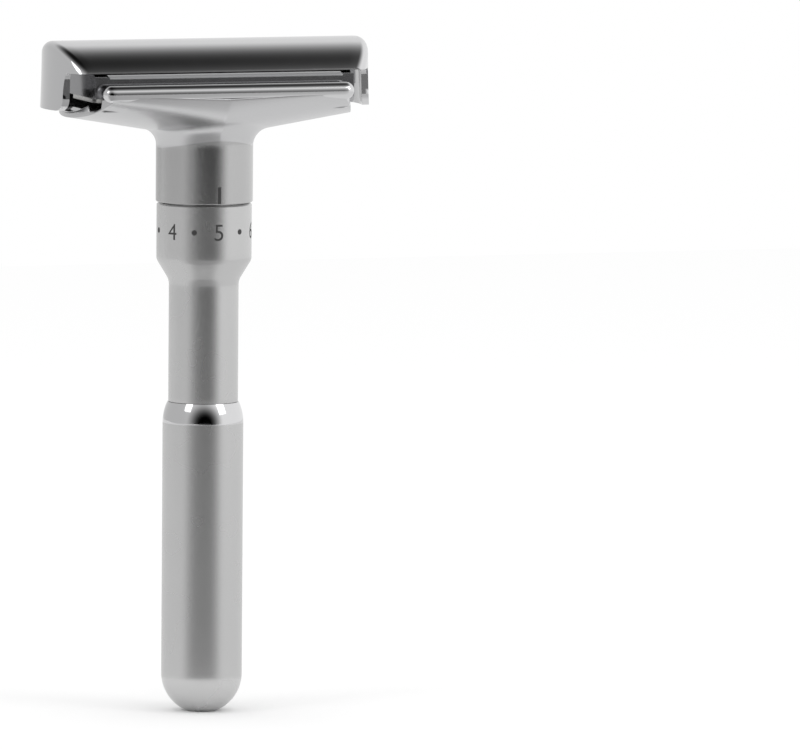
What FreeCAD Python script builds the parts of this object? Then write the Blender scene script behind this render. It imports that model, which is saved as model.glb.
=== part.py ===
import FreeCAD, Part
import math
import os

# Adjustable double-edge safety razor with a pull-off cap, in millimetres.
# +Z is up the handle from the flat at its foot, X runs along the head, and the
# dial's index line faces -Y. The dial is at its fifth setting and the cap is on.

# ---- driving dimensions ------------------------------------------------------
# grip and neck
GRIP_R = 6.2
FOOT_FLAT_R = 2.3
GRIP_LENGTH = 47.7
SHOULDER_RISE = 3.2
SHOULDER_ARC_R = 7.5
NECK_R = 5.35
NECK_LENGTH = 18.7
GRIP_THREAD_R = 4.0
GRIP_THREAD_LENGTH = 9.2
# dial and the spigot that turns inside the collar
DIAL_R = 7.3
FLARE_RISE = 3.2
DIAL_HEIGHT = 8.7
DIAL_CHAMFER = 0.25
SPIGOT_R = 5.9
JOURNAL_R = 4.05
JOURNAL_ABOVE_WEB = 1.7
# collar and head casting
SEAM_GAP = 0.2
COLLAR_R = 7.45
COLLAR_HEIGHT = 9.6
COLLAR_FILLET_R = 2.2
COUNTERBORE_DEPTH = 4.5
WEB_THICKNESS = 1.6
WELL_R = 6.0
HULL_HALF_WIDTH = 13.6
HULL_CENTRE_ABOVE_KEEL = 8.9
HULL_TOP_ABOVE_KEEL = 7.2
HULL_KEEL_SLOPE = 0.167
HULL_TIP_X = 22.6
HULL_TIP_HALF_WIDTH = 3.5
POCKET_FLOOR_ABOVE_KEEL = 5.1
SCOOP_ABOVE_KEEL = 4.6
SCOOP_R = 19.5
GUARD_ROLL_R = 1.2
GUARD_ROLL_Y = 11.8
GUARD_ROLL_ABOVE_KEEL = 7.9
GUARD_HALF_LENGTH = 17.8
# blade
BLADE_HALF_WIDTH = 11.0
BLADE_HALF_LENGTH = 21.5
BLADE_EDGE_HALF_LENGTH = 18.7
BLADE_TAB_HALF_WIDTH = 6.8
BLADE_THICKNESS = 0.1
BLADE_FLEX_R = 36.0
BLADE_ABOVE_KEEL = 11.9
SLOT_HALF_LENGTH = 17.1
SLOT_HALF_WIDTH = 1.1
POST_HOLE_HALF_X = 2.6
POST_HOLE_HALF_Y = 3.3
TICK_X = (8.3, 17.1)
TICK_WIDTH = 1.45
TICK_LENGTH = 6.6
CENTRE_HOLE_R = 2.35
# blade bed
BED_HALF_LENGTH = 20.7
BED_HALF_WIDTH = 9.8
BED_ABOVE_FLOOR = 2.0
BED_RIB_HALF_WIDTH = 1.0
BED_RIB_HALF_LENGTH = 16.8
# cap
CAP_TOP_ABOVE_BLADE = 3.5
CAP_TOP_ARC_R = 11.6
CAP_HALF_WIDTH = 9.0
CAP_WALL = 1.2
CAP_END_ARC_R = 15.4
CAP_END_WALL = 1.3
CAP_HALF_LENGTH = 25.8
CAP_END_ROUND = 1.2
LUG_HALF_WIDTH = 5.5
LUG_DEPTH = 10.4
RAIL_HALF_WIDTH = 2.2
RAIL_HALF_LENGTH = 19.0
POST_X = 12.65
POST_R = 1.95
POST_NECK_R = 1.5
POST_NECK_LENGTH = 0.9
POST_SPIGOT_R = 1.2
POST_SPIGOT_LENGTH = 1.3
POST_NOSE_LENGTH = 0.95
# adjusting gear inside the head
STEM_R = 1.65
STEM_LENGTH = 29.2
STEM_FLANGE_R = 3.2
STEM_FLANGE_THICKNESS = 1.0
NUT_R = 3.0
NUT_LENGTH = 12.3
PLATE_THICKNESS = 0.9
PLATE_HALF_LENGTH = 19.6
PLATE_HALF_WIDTH = 6.6
PIN_X = 8.2
PIN_R = 0.9
PIN_REACH = 3.9
PIN_SEAT_DEPTH = 1.5
SCREW_X = 18.0
SCREW_R = 0.6
SCREW_HEAD_R = 1.2
SCREW_HEAD_HEIGHT = 0.6
SCREW_LENGTH = 3.2
CLIP_WIRE_R = 0.35
CLIP_BEND_INSET = 0.45
CLIP_END_X = 16.0
SPRING_MEAN_R = 5.4
SPRING_WIRE_R = 0.35
SPRING_TURNS = 5
WASHER_THICKNESS = 0.25
WASHER_OUTER_R = 4.95
RING_THICKNESS = 0.5
RING_OUTER_R = 4.9
RING_GROOVE_DEPTH = 0.45
RING_GAP_DEG = 70.0
SEAL_WIRE_R = 0.5
SEAL_Z_ABOVE_DIAL = 1.3
SET_SCREW_R = 0.9
SET_SCREW_Z_ABOVE_DIAL = 3.2

# ---- clearances ----------------------------------------------------------------
RUNNING_FIT = 0.05
SPIGOT_FIT = 0.1
THREAD_FIT = 0.05
BLADE_SEAT = 0.05
CAP_SEAT = 0.06
RAIL_CLEARANCE = 0.3
POST_HOLE_CLEARANCE = 0.15
POCKET_CLEARANCE = 0.5
CLIP_SEAT = 0.02
CLIP_POST_CLEARANCE = 0.02
BED_DROP = 0.8
END_PLAY = 0.05

# ---- places worked out from them, from the foot upwards ---------------------------
GRIP_TOP_Z = GRIP_LENGTH
SHOULDER_Z = GRIP_TOP_Z - SHOULDER_RISE
NECK_TOP_Z = GRIP_TOP_Z + NECK_LENGTH
DIAL_LOW_Z = NECK_TOP_Z + FLARE_RISE
DIAL_TOP_Z = DIAL_LOW_Z + DIAL_HEIGHT
COLLAR_LOW_Z = DIAL_TOP_Z + SEAM_GAP
WEB_LOW_Z = COLLAR_LOW_Z + COUNTERBORE_DEPTH
WEB_TOP_Z = WEB_LOW_Z + WEB_THICKNESS
JOURNAL_TOP_Z = WEB_TOP_Z + JOURNAL_ABOVE_WEB
NUT_BOTTOM_Z = JOURNAL_TOP_Z - NUT_LENGTH
COUNTERBORE_R = SPIGOT_R + SPIGOT_FIT
HULL_KEEL_Z = COLLAR_LOW_Z + COLLAR_HEIGHT
HULL_CENTRE_Z = HULL_KEEL_Z + HULL_CENTRE_ABOVE_KEEL
HULL_TOP_Z = HULL_KEEL_Z + HULL_TOP_ABOVE_KEEL
POCKET_FLOOR_Z = HULL_KEEL_Z + POCKET_FLOOR_ABOVE_KEEL
SCOOP_LOW_Z = HULL_KEEL_Z + SCOOP_ABOVE_KEEL
GUARD_ROLL_Z = HULL_KEEL_Z + GUARD_ROLL_ABOVE_KEEL
BED_BOTTOM_Z = POCKET_FLOOR_Z + BED_ABOVE_FLOOR
STEM_BOTTOM_Z = BED_BOTTOM_Z - STEM_LENGTH
PIN_BOTTOM_Z = BED_BOTTOM_Z - PIN_REACH
BLADE_TOP_Z = HULL_KEEL_Z + BLADE_ABOVE_KEEL
CAP_TOP_Z = BLADE_TOP_Z + CAP_TOP_ABOVE_BLADE
LUG_BOTTOM_Z = CAP_TOP_Z - LUG_DEPTH
BLADE_AXIS_Z = BLADE_TOP_Z - BLADE_FLEX_R
BED_CROWN_R = BLADE_FLEX_R - BLADE_THICKNESS - BLADE_SEAT
PLATE_BOTTOM_Z = BED_BOTTOM_Z - PLATE_THICKNESS
CAP_AXIS_Z = CAP_TOP_Z - CAP_TOP_ARC_R
RAIL_BOTTOM_Z = BLADE_TOP_Z + RAIL_CLEARANCE
CLIP_Z = BED_BOTTOM_Z + CLIP_WIRE_R + CLIP_SEAT
CLIP_LEG_Y = POST_NECK_R + CLIP_WIRE_R + CLIP_POST_CLEARANCE
POST_HOLE_R = POST_R + POST_HOLE_CLEARANCE
WASHER_TOP_Z = WEB_TOP_Z + WASHER_THICKNESS
RING_LOW_Z = WASHER_TOP_Z + END_PLAY
BEYOND = 60.0


def vec(x, y, z):
    return FreeCAD.Vector(x, y, z)


UP = vec(0, 0, 1)
ALONG = vec(1, 0, 0)


def cylinder(radius, low, high, x=0.0, y=0.0):
    """A round bar on a line parallel to Z."""
    return Part.makeCylinder(radius, high - low, vec(x, y, low), UP)


def block(x0, x1, y0, y1, z0, z1):
    """A box between two corners."""
    return Part.makeBox(x1 - x0, y1 - y0, z1 - z0, vec(x0, y0, z0))


def lying_cylinder(radius, half_length, y, z):
    """A round bar parallel to X, centred on x = 0."""
    return Part.makeCylinder(radius, 2 * half_length, vec(-half_length, y, z), ALONG)


def rounded_face(corners, place):
    """A face inside a polygon of (u, v, corner radius), put in space by place(u, v)."""
    edges = []
    starts = []
    ends = []
    mids = []
    count = len(corners)
    for i, (u, v, radius) in enumerate(corners):
        here = vec(u, v, 0)
        before = vec(*corners[i - 1][:2], 0) - here
        after = vec(*corners[(i + 1) % count][:2], 0) - here
        before.normalize()
        after.normalize()
        half = before.getAngle(after) / 2
        reach = radius / math.tan(half)
        middle = before + after
        if radius:
            middle.normalize()
            centre = here + middle * (radius / math.sin(half))
            mids.append(centre - middle * radius)
        else:
            mids.append(here)
        starts.append(here + before * reach)
        ends.append(here + after * reach)
    put = [place(p.x, p.y) for p in mids]
    first = [place(p.x, p.y) for p in starts]
    last = [place(p.x, p.y) for p in ends]
    for i in range(count):
        if corners[i][2]:
            edges.append(Part.Arc(first[i], put[i], last[i]).toShape())
        following = first[(i + 1) % count]
        if last[i].distanceToPoint(following) > 1e-6:
            edges.append(Part.LineSegment(last[i], following).toShape())
    return Part.Face(Part.Wire(edges))


def turned(corners):
    """A turned piece: a (radius, z, corner radius) outline spun about Z."""
    return rounded_face(corners, lambda u, v: vec(u, 0, v)).revolve(vec(0, 0, 0), UP, 360)


def plan_slab(corners, low, high):
    """An (x, y, corner radius) outline raised from z = low to z = high."""
    return rounded_face(corners, lambda u, v: vec(u, v, low)).extrude(vec(0, 0, high - low))


def both_sides(shape):
    """A shape and its mirror image across x = 0, joined."""
    return shape.fuse(shape.mirror(vec(0, 0, 0), ALONG))


# ---- handle ----------------------------------------------------------------------
def grip():
    """Round-ended bar with a small foot flat and a convex shoulder, bored for the neck's thread."""
    foot_centre = math.sqrt(GRIP_R**2 - FOOT_FLAT_R**2)
    shoulder_rise = GRIP_TOP_Z - SHOULDER_Z
    shoulder_drop = SHOULDER_ARC_R - math.sqrt(SHOULDER_ARC_R**2 - shoulder_rise**2)
    half_rise = SHOULDER_ARC_R * math.sin(math.asin(shoulder_rise / SHOULDER_ARC_R) / 2)
    half_drop = SHOULDER_ARC_R - math.sqrt(SHOULDER_ARC_R**2 - half_rise**2)
    slant = math.asin(foot_centre / GRIP_R) / 2
    points = [
        vec(0, 0, 0),
        vec(FOOT_FLAT_R, 0, 0),
        vec(GRIP_R * math.cos(slant), 0, foot_centre - GRIP_R * math.sin(slant)),
        vec(GRIP_R, 0, foot_centre),
        vec(GRIP_R, 0, SHOULDER_Z),
        vec(GRIP_R - half_drop, 0, SHOULDER_Z + half_rise),
        vec(GRIP_R - shoulder_drop, 0, GRIP_TOP_Z),
        vec(0, 0, GRIP_TOP_Z),
    ]
    edges = [
        Part.LineSegment(points[0], points[1]).toShape(),
        Part.Arc(points[1], points[2], points[3]).toShape(),
        Part.LineSegment(points[3], points[4]).toShape(),
        Part.Arc(points[4], points[5], points[6]).toShape(),
        Part.LineSegment(points[6], points[7]).toShape(),
        Part.LineSegment(points[7], points[0]).toShape(),
    ]
    body = Part.Face(Part.Wire(edges)).revolve(vec(0, 0, 0), UP, 360)
    bore_bottom = GRIP_TOP_Z - GRIP_THREAD_LENGTH - POCKET_CLEARANCE
    return body.cut(cylinder(GRIP_THREAD_R + THREAD_FIT, bore_bottom, GRIP_TOP_Z + 1))


def dial_sleeve():
    """Neck, flare and dial in one turned piece, with a threaded end below and a journal above."""
    spigot_top = WEB_LOW_Z - SPIGOT_FIT
    groove_r = JOURNAL_R - RING_GROOVE_DEPTH
    groove_top = RING_LOW_Z + RING_THICKNESS + END_PLAY
    body = turned([
        (0, GRIP_TOP_Z - GRIP_THREAD_LENGTH, 0),
        (GRIP_THREAD_R, GRIP_TOP_Z - GRIP_THREAD_LENGTH, 0.4),
        (GRIP_THREAD_R, GRIP_TOP_Z, 0),
        (NECK_R, GRIP_TOP_Z, 0),
        (NECK_R, NECK_TOP_Z, 2.5),
        (DIAL_R, DIAL_LOW_Z, 1.6),
        (DIAL_R, DIAL_TOP_Z - DIAL_CHAMFER, 0),
        (DIAL_R - DIAL_CHAMFER, DIAL_TOP_Z, 0),
        (SPIGOT_R, DIAL_TOP_Z, 0),
        (SPIGOT_R, spigot_top, 0),
        (JOURNAL_R, spigot_top, 0),
        (JOURNAL_R, JOURNAL_TOP_Z, 0),
        (0, JOURNAL_TOP_Z, 0),
    ])
    ring_groove = cylinder(BEYOND, RING_LOW_Z, groove_top).cut(
        cylinder(groove_r, RING_LOW_Z, groove_top)
    )
    seal_z = DIAL_TOP_Z + SEAL_Z_ABOVE_DIAL
    seal_half = SEAL_WIRE_R + END_PLAY
    seal_floor_r = COUNTERBORE_R - END_PLAY - 2 * SEAL_WIRE_R - END_PLAY / 2
    seal_groove = cylinder(BEYOND, seal_z - seal_half, seal_z + seal_half).cut(
        cylinder(seal_floor_r, seal_z - seal_half, seal_z + seal_half)
    )
    stem_room = cylinder(
        STEM_R + 5 * RUNNING_FIT, STEM_BOTTOM_Z - BED_DROP - 2 * POCKET_CLEARANCE, JOURNAL_TOP_Z + 1
    )
    nut_room = cylinder(NUT_R, NUT_BOTTOM_Z, JOURNAL_TOP_Z + 1)
    screw_hole = Part.makeCylinder(
        SET_SCREW_R + THREAD_FIT,
        SPIGOT_R,
        vec(0, 0, DIAL_TOP_Z + SET_SCREW_Z_ABOVE_DIAL),
        ALONG,
    )
    for room in (ring_groove, seal_groove, stem_room, nut_room, screw_hole):
        body = body.cut(room)
    return body


def drive_nut():
    """Brass nut fixed in the dial sleeve; its thread is a plain bore round the stem."""
    nut = cylinder(NUT_R, NUT_BOTTOM_Z, JOURNAL_TOP_Z - END_PLAY)
    return nut.cut(cylinder(STEM_R + RUNNING_FIT, NUT_BOTTOM_Z - 1, JOURNAL_TOP_Z + 1))


def nut_set_screw():
    """Headless screw through the spigot's wall that locks the nut."""
    height = DIAL_TOP_Z + SET_SCREW_Z_ABOVE_DIAL
    start = NUT_R + RUNNING_FIT
    length = SPIGOT_R - SPIGOT_FIT - start
    screw = Part.makeCylinder(SET_SCREW_R, length, vec(start, 0, height), ALONG)
    socket = Part.makeCylinder(0.45, 0.8, vec(start + length - 0.8, 0, height), ALONG)
    return screw.cut(socket)


def retaining_ring():
    """Split ring in the journal's groove that keeps the head on the handle."""
    low = RING_LOW_Z
    high = low + RING_THICKNESS
    inner = JOURNAL_R - RING_GROOVE_DEPTH + END_PLAY
    ring = cylinder(RING_OUTER_R, low, high).cut(cylinder(inner, low - 1, high + 1))
    half = math.radians(RING_GAP_DEG / 2)
    gap = Part.makePolygon([
        vec(0, 0, low - 1),
        vec(BEYOND * math.cos(half), BEYOND * math.sin(half), low - 1),
        vec(BEYOND * math.cos(half), -BEYOND * math.sin(half), low - 1),
        vec(0, 0, low - 1),
    ])
    return ring.cut(Part.Face(gap).extrude(vec(0, 0, RING_THICKNESS + 2)))


def sealing_ring():
    """Rubber ring that keeps lather out and gives the dial its drag."""
    mean_r = COUNTERBORE_R - END_PLAY - SEAL_WIRE_R
    return Part.makeTorus(mean_r, SEAL_WIRE_R, vec(0, 0, DIAL_TOP_Z + SEAL_Z_ABOVE_DIAL), UP)


# ---- head ------------------------------------------------------------------------
def hull_section(x):
    """The lower half of an ellipse across the head, shallower towards the ends."""
    depth = HULL_CENTRE_Z - HULL_KEEL_Z - HULL_KEEL_SLOPE * x
    centre = vec(x, 0, HULL_CENTRE_Z)
    side = vec(x, HULL_HALF_WIDTH, HULL_CENTRE_Z)
    keel = vec(x, 0, HULL_CENTRE_Z - depth)
    if depth > HULL_HALF_WIDTH:
        curve = Part.Ellipse(keel, side, centre)
    else:
        curve = Part.Ellipse(side, keel, centre)
    whole = Part.Face(Part.Wire(curve.toShape()))
    lower = whole.common(block(x - 1, x + 1, -BEYOND, BEYOND, 0, HULL_TOP_Z))
    return lower.Faces[0].OuterWire


def guard_head():
    """Boat-shaped casting with two guard rolls, a pocket for the bed and a collar below."""
    half_hull = Part.makeLoft([hull_section(0), hull_section(HULL_TIP_X)], True, True)
    hull = both_sides(half_hull)
    outer_y = GUARD_ROLL_Y + GUARD_ROLL_R
    plan = plan_slab([
        (GUARD_HALF_LENGTH, -outer_y, 2.0),
        (20.9, -7.5, 4.0),
        (HULL_TIP_X, -HULL_TIP_HALF_WIDTH, 2.0),
        (HULL_TIP_X, HULL_TIP_HALF_WIDTH, 2.0),
        (20.9, 7.5, 4.0),
        (GUARD_HALF_LENGTH, outer_y, 2.0),
        (-GUARD_HALF_LENGTH, outer_y, 2.0),
        (-20.9, 7.5, 4.0),
        (-HULL_TIP_X, HULL_TIP_HALF_WIDTH, 2.0),
        (-HULL_TIP_X, -HULL_TIP_HALF_WIDTH, 2.0),
        (-20.9, -7.5, 4.0),
        (-GUARD_HALF_LENGTH, -outer_y, 2.0),
    ], HULL_KEEL_Z - 1, HULL_TOP_Z + 1)
    hull = hull.common(plan)
    bed_side = BED_HALF_WIDTH + POCKET_CLEARANCE
    pocket = block(-BEYOND, BEYOND, -bed_side, bed_side, POCKET_FLOOR_Z, HULL_TOP_Z + 5)
    scoop = lying_cylinder(SCOOP_R, BEYOND, 0, SCOOP_LOW_Z + SCOOP_R)
    scoop = scoop.cut(block(-BED_HALF_LENGTH, BED_HALF_LENGTH, -BEYOND, BEYOND, 0, 2 * BEYOND + 40))
    collar = turned([
        (0, COLLAR_LOW_Z, 0),
        (COLLAR_R, COLLAR_LOW_Z, 0),
        (COLLAR_R, HULL_KEEL_Z + HULL_KEEL_SLOPE * COLLAR_R, COLLAR_FILLET_R),
        (COLLAR_R + 1.6, HULL_KEEL_Z + HULL_KEEL_SLOPE * COLLAR_R + 1.2, 0),
        (COLLAR_R + 1.6, POCKET_FLOOR_Z, 0),
        (0, POCKET_FLOOR_Z, 0),
    ])
    body = hull.cut(pocket).cut(scoop).fuse(collar)
    for side in (-1, 1):
        y = side * GUARD_ROLL_Y
        body = body.fuse(lying_cylinder(GUARD_ROLL_R, GUARD_HALF_LENGTH, y, GUARD_ROLL_Z))
        for end in (-1, 1):
            body = body.fuse(Part.makeSphere(GUARD_ROLL_R, vec(end * GUARD_HALF_LENGTH, y, GUARD_ROLL_Z)))
    pin_room_low = PIN_BOTTOM_Z - BED_DROP - POCKET_CLEARANCE / 2
    rooms = [
        cylinder(COUNTERBORE_R, COLLAR_LOW_Z - 1, WEB_LOW_Z),
        cylinder(JOURNAL_R + RUNNING_FIT, WEB_LOW_Z - 1, WEB_TOP_Z + 1),
        cylinder(WELL_R, WEB_TOP_Z, POCKET_FLOOR_Z + 1),
        cylinder(PIN_R + RUNNING_FIT, pin_room_low, POCKET_FLOOR_Z + 1, x=PIN_X),
        cylinder(PIN_R + RUNNING_FIT, pin_room_low, POCKET_FLOOR_Z + 1, x=-PIN_X),
    ]
    for room in rooms:
        body = body.cut(room)
    return body.removeSplitter()


def thrust_washer():
    """Hard washer between the head's web and the retaining ring."""
    washer = cylinder(WASHER_OUTER_R, WEB_TOP_Z, WASHER_TOP_Z)
    return washer.cut(cylinder(JOURNAL_R + 2 * RUNNING_FIT, WEB_TOP_Z - 1, WASHER_TOP_Z + 1))


def adjusting_spring():
    """Coil spring that lifts the bed; each half turn is a tilted half circle."""
    low = WEB_TOP_Z + SPRING_WIRE_R
    rise = (PLATE_BOTTOM_Z - SPRING_WIRE_R - low) / (2 * SPRING_TURNS)
    arcs = []
    for i in range(2 * SPRING_TURNS):
        side = 1 if i % 2 == 0 else -1
        start = vec(side * SPRING_MEAN_R, 0, low + i * rise)
        middle = vec(0, side * math.hypot(SPRING_MEAN_R, rise / 2), low + (i + 0.5) * rise)
        end = vec(-side * SPRING_MEAN_R, 0, low + (i + 1) * rise)
        arcs.append(Part.Arc(start, middle, end).toShape())
    section = Part.Wire(Part.makeCircle(SPRING_WIRE_R, vec(SPRING_MEAN_R, 0, low), vec(0, 1, 0)))
    return Part.Wire(arcs).makePipeShell([section], True, False)


# ---- blade bed -------------------------------------------------------------------
def blade_bed():
    """Crowned bed under the blade, holed for the cap's posts and recessed below for the clips."""
    body = block(
        -BED_HALF_LENGTH, BED_HALF_LENGTH, -BED_HALF_WIDTH, BED_HALF_WIDTH, BED_BOTTOM_Z, BLADE_TOP_Z
    )
    body = body.common(lying_cylinder(BED_CROWN_R, BEYOND, 0, BLADE_AXIS_Z))
    rib = block(
        -BED_RIB_HALF_LENGTH,
        BED_RIB_HALF_LENGTH,
        -BED_RIB_HALF_WIDTH,
        BED_RIB_HALF_WIDTH,
        BED_BOTTOM_Z + 1,
        BLADE_TOP_Z - BLADE_SEAT,
    )
    body = body.fuse(rib)
    pocket_top = CLIP_Z + CLIP_WIRE_R + 2 * CLIP_SEAT
    flange_r = STEM_FLANGE_R + RUNNING_FIT
    flange_top = BED_BOTTOM_Z + STEM_FLANGE_THICKNESS
    body = body.cut(cylinder(flange_r, BED_BOTTOM_Z - 1, flange_top))
    clip_half = CLIP_LEG_Y + CLIP_WIRE_R + POST_HOLE_CLEARANCE
    for side in (-1, 1):
        inner = side * (POST_X - CLIP_BEND_INSET - clip_half)
        outer = side * (CLIP_END_X + POST_HOLE_CLEARANCE)
        rooms = [
            cylinder(POST_HOLE_R, BED_BOTTOM_Z - 1, BLADE_TOP_Z + 1, x=side * POST_X),
            block(min(inner, outer), max(inner, outer), -clip_half, clip_half, BED_BOTTOM_Z - 1, pocket_top),
            cylinder(PIN_R, BED_BOTTOM_Z - 1, BED_BOTTOM_Z + PIN_SEAT_DEPTH, x=side * PIN_X),
            cylinder(
                SCREW_R + THREAD_FIT, BED_BOTTOM_Z - 1, PLATE_BOTTOM_Z + SCREW_LENGTH + 0.3, x=side * SCREW_X
            ),
        ]
        for room in rooms:
            body = body.cut(room)
    return body


def adjusting_stem():
    """Threaded rod, shown plain, whose flange is trapped between the bed and its plate."""
    rod = cylinder(STEM_R, STEM_BOTTOM_Z, BED_BOTTOM_Z)
    flange_top = BED_BOTTOM_Z + STEM_FLANGE_THICKNESS
    return rod.fuse(cylinder(STEM_FLANGE_R, BED_BOTTOM_Z, flange_top)).removeSplitter()


def retainer_plate():
    """Plate screwed under the bed that holds the stem and the post clips."""
    plate = plan_slab([
        (PLATE_HALF_LENGTH, -PLATE_HALF_WIDTH, 2.0),
        (PLATE_HALF_LENGTH, PLATE_HALF_WIDTH, 2.0),
        (-PLATE_HALF_LENGTH, PLATE_HALF_WIDTH, 2.0),
        (-PLATE_HALF_LENGTH, -PLATE_HALF_WIDTH, 2.0),
    ], PLATE_BOTTOM_Z, BED_BOTTOM_Z)
    low = PLATE_BOTTOM_Z - 1
    high = BED_BOTTOM_Z + 1
    rooms = [cylinder(STEM_R + THREAD_FIT, low, high)]
    for side in (-1, 1):
        rooms.append(cylinder(POST_HOLE_R, low, high, x=side * POST_X))
        rooms.append(cylinder(PIN_R, low, high, x=side * PIN_X))
        rooms.append(cylinder(SCREW_R + THREAD_FIT, low, high, x=side * SCREW_X))
        rooms.append(Part.makeCone(
            SCREW_HEAD_R, SCREW_R, SCREW_HEAD_HEIGHT, vec(side * SCREW_X, 0, PLATE_BOTTOM_Z), UP
        ))
    for room in rooms:
        plate = plate.cut(room)
    return plate


def retainer_screws():
    """Two countersunk screws up through the plate into the bed."""
    screws = []
    for side in (-1, 1):
        shank = cylinder(SCREW_R, PLATE_BOTTOM_Z, PLATE_BOTTOM_Z + SCREW_LENGTH, x=side * SCREW_X)
        head = Part.makeCone(
            SCREW_HEAD_R, SCREW_R, SCREW_HEAD_HEIGHT, vec(side * SCREW_X, 0, PLATE_BOTTOM_Z), UP
        )
        slot = block(
            side * SCREW_X - 2, side * SCREW_X + 2, -0.15, 0.15, PLATE_BOTTOM_Z - 1, PLATE_BOTTOM_Z + 0.3
        )
        screws.append(head.fuse(shank).cut(slot))
    return Part.makeCompound([s.Solids[0] for s in screws])


def guide_pins():
    """Two pins pressed in the bed that slide in the head, so the bed can't turn."""
    top = BED_BOTTOM_Z + PIN_SEAT_DEPTH
    return Part.makeCompound([cylinder(PIN_R, PIN_BOTTOM_Z, top, x=side * PIN_X) for side in (-1, 1)])


def post_clip(side):
    """Hairpin spring whose legs snap into a cap post's neck."""
    bend_x = POST_X - CLIP_BEND_INSET
    start = vec(CLIP_END_X, -CLIP_LEG_Y, CLIP_Z)
    turn_in = vec(bend_x, -CLIP_LEG_Y, CLIP_Z)
    nose = vec(bend_x - CLIP_LEG_Y, 0, CLIP_Z)
    turn_out = vec(bend_x, CLIP_LEG_Y, CLIP_Z)
    end = vec(CLIP_END_X, CLIP_LEG_Y, CLIP_Z)
    path = Part.Wire([
        Part.LineSegment(start, turn_in).toShape(),
        Part.Arc(turn_in, nose, turn_out).toShape(),
        Part.LineSegment(turn_out, end).toShape(),
    ])
    section = Part.Wire(Part.makeCircle(CLIP_WIRE_R, start, ALONG))
    clip = path.makePipeShell([section], True, False)
    if side < 0:
        clip = clip.mirror(vec(0, 0, 0), ALONG)
    return clip


# ---- blade -----------------------------------------------------------------------
def blade():
    """Double-edge blade, stamped flat and here flexed over the bed."""
    half_width = BLADE_FLEX_R * math.sin(BLADE_HALF_WIDTH / BLADE_FLEX_R)
    low = BLADE_TOP_Z - 4
    high = BLADE_TOP_Z + 1
    sheet = plan_slab([
        (BLADE_EDGE_HALF_LENGTH, -half_width, 0.4),
        (BLADE_EDGE_HALF_LENGTH, -BLADE_TAB_HALF_WIDTH, 0.3),
        (BLADE_HALF_LENGTH, -BLADE_TAB_HALF_WIDTH, 1.5),
        (BLADE_HALF_LENGTH, BLADE_TAB_HALF_WIDTH, 1.5),
        (BLADE_EDGE_HALF_LENGTH, BLADE_TAB_HALF_WIDTH, 0.3),
        (BLADE_EDGE_HALF_LENGTH, half_width, 0.4),
        (-BLADE_EDGE_HALF_LENGTH, half_width, 0.4),
        (-BLADE_EDGE_HALF_LENGTH, BLADE_TAB_HALF_WIDTH, 0.3),
        (-BLADE_HALF_LENGTH, BLADE_TAB_HALF_WIDTH, 1.5),
        (-BLADE_HALF_LENGTH, -BLADE_TAB_HALF_WIDTH, 1.5),
        (-BLADE_EDGE_HALF_LENGTH, -BLADE_TAB_HALF_WIDTH, 0.3),
        (-BLADE_EDGE_HALF_LENGTH, -half_width, 0.4),
    ], low, high)
    openings = block(-SLOT_HALF_LENGTH, SLOT_HALF_LENGTH, -SLOT_HALF_WIDTH, SLOT_HALF_WIDTH, low, high)
    openings = openings.fuse(cylinder(CENTRE_HOLE_R, low, high))
    for side in (-1, 1):
        diamond = plan_slab([
            (side * POST_X - POST_HOLE_HALF_X, 0, 0),
            (side * POST_X, -POST_HOLE_HALF_Y, 0),
            (side * POST_X + POST_HOLE_HALF_X, 0, 0),
            (side * POST_X, POST_HOLE_HALF_Y, 0),
        ], low, high)
        openings = openings.fuse(diamond)
        for x in TICK_X:
            tick = block(
                side * x - TICK_WIDTH / 2,
                side * x + TICK_WIDTH / 2,
                -TICK_LENGTH / 2,
                TICK_LENGTH / 2,
                low,
                high,
            )
            openings = openings.fuse(tick)
    outer = lying_cylinder(BLADE_FLEX_R, BLADE_HALF_LENGTH + 1, 0, BLADE_AXIS_Z)
    inner = lying_cylinder(BLADE_FLEX_R - BLADE_THICKNESS, BLADE_HALF_LENGTH + 2, 0, BLADE_AXIS_Z)
    return sheet.cut(openings).common(outer.cut(inner))


# ---- cap -------------------------------------------------------------------------
def cap_plan(half_width, inset, low, high):
    """A slab with the cap's bowed ends, moved in by an inset."""
    centre_x = CAP_HALF_LENGTH - CAP_END_ARC_R
    radius = CAP_END_ARC_R - inset
    slab = block(-BEYOND, BEYOND, -half_width, half_width, low, high)
    ends = both_sides(cylinder(radius, low, high, x=centre_x))
    middle = block(-centre_x, centre_x, -half_width, half_width, low, high)
    return slab.common(ends.fuse(middle))


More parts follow.
